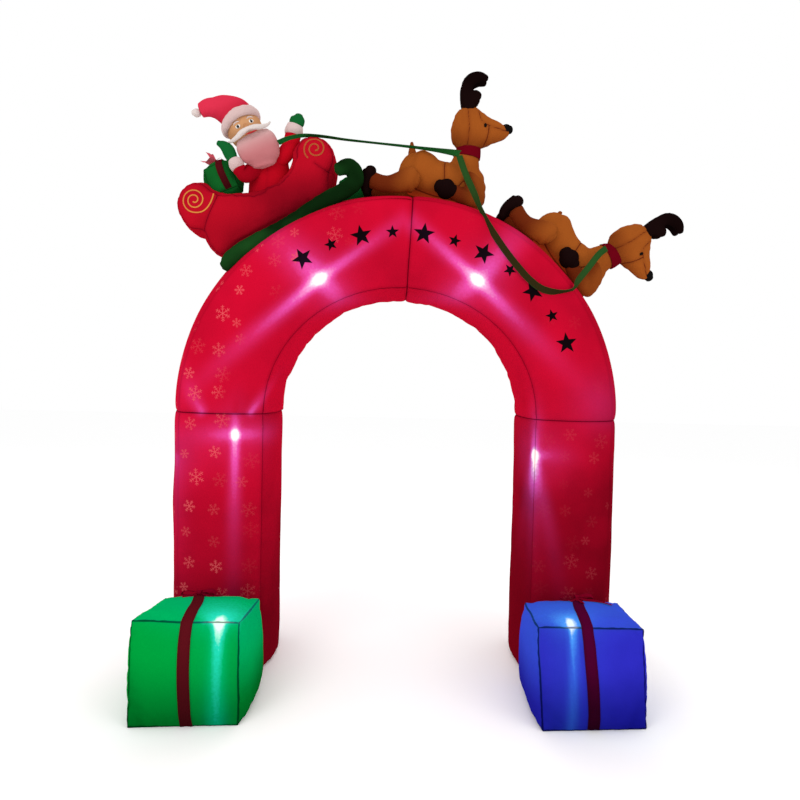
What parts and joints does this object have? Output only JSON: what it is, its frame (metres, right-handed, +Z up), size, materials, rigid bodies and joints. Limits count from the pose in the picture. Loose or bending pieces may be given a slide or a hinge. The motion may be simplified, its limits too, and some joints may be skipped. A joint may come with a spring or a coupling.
{
  "type": "inflatable arch",
  "caption": "Blow-up walk-through arch of sewn cloth with a sleigh, bearded driver and deer on its curve, webbing reins, and a gift box at each foot.",
  "frame": {"origin": "on the surface, under the middle of the bounding box", "axes": "+Z up, -Y towards the front of the arch, +X to the right as seen from the front"},
  "size_m": [2.5448, 1.0014, 2.952],
  "materials": {
    "arch_cloth": "thin coated ripstop, lit from inside",
    "box_green": "thin coated ripstop, lit from inside",
    "box_blue": "thin coated ripstop, lit from inside",
    "ribbon": "satin tape",
    "sleigh_cloth": "thin coated ripstop",
    "runner_cloth": "thin coated ripstop",
    "skin": "thin coated ripstop",
    "fluff": "short plush",
    "suit": "thin coated ripstop",
    "mitten": "thin coated ripstop",
    "hide": "thin coated ripstop",
    "hoof": "thin coated ripstop",
    "collar": "satin tape",
    "webbing": "woven webbing"
  },
  "bodies": {
    "root": {"arch_leg_left": "arch_cloth", "arch_leg_right": "arch_cloth", "arch_bow_left": "arch_cloth", "arch_bow_right": "arch_cloth", "gift_green_box": "box_green", "gift_green_ribbon": "ribbon", "gift_green_bow": "ribbon", "gift_blue_box": "box_blue", "gift_blue_ribbon": "ribbon", "gift_blue_bow": "ribbon", "sleigh_body": "sleigh_cloth", "sleigh_runner_near": "runner_cloth", "sleigh_runner_far": "runner_cloth", "small_gift_box": "box_green", "small_gift_ribbon": "ribbon", "small_gift_bow": "ribbon", "driver_torso": "suit", "driver_head": "skin", "driver_beard": "fluff", "driver_moustache": "fluff", "driver_hat": "suit", "driver_hat_trim": "fluff", "driver_pompom": "fluff", "driver_arm_left": "suit", "driver_cuff_left": "fluff", "driver_mitten_left": "mitten", "driver_arm_right": "suit", "driver_cuff_right": "fluff", "driver_mitten_right": "mitten", "deer_a_body": "hide", "deer_a_head": "hide", "deer_a_tail": "hide", "deer_a_collar": "collar", "deer_a_antler_left": "hoof", "deer_a_antler_right": "hoof", "deer_a_leg_hind_near": "hide", "deer_a_leg_fore_near": "hide", "deer_a_hoof_hind_near": "hoof", "deer_a_hoof_fore_near": "hoof", "deer_a_leg_hind_far": "hide", "deer_a_leg_fore_far": "hide", "deer_a_hoof_hind_far": "hoof", "deer_a_hoof_fore_far": "hoof", "deer_b_body": "hide", "deer_b_head": "hide", "deer_b_tail": "hide", "deer_b_collar": "collar", "deer_b_antler_left": "hoof", "deer_b_antler_right": "hoof", "deer_b_leg_hind_near": "hide", "deer_b_leg_fore_near": "hide", "deer_b_hoof_hind_near": "hoof", "deer_b_hoof_fore_near": "hoof", "deer_b_leg_hind_far": "hide", "deer_b_leg_fore_far": "hide", "deer_b_hoof_hind_far": "hoof", "deer_b_hoof_fore_far": "hoof", "rein_1": "webbing", "rein_2": "webbing"}
  },
  "joints": []
}
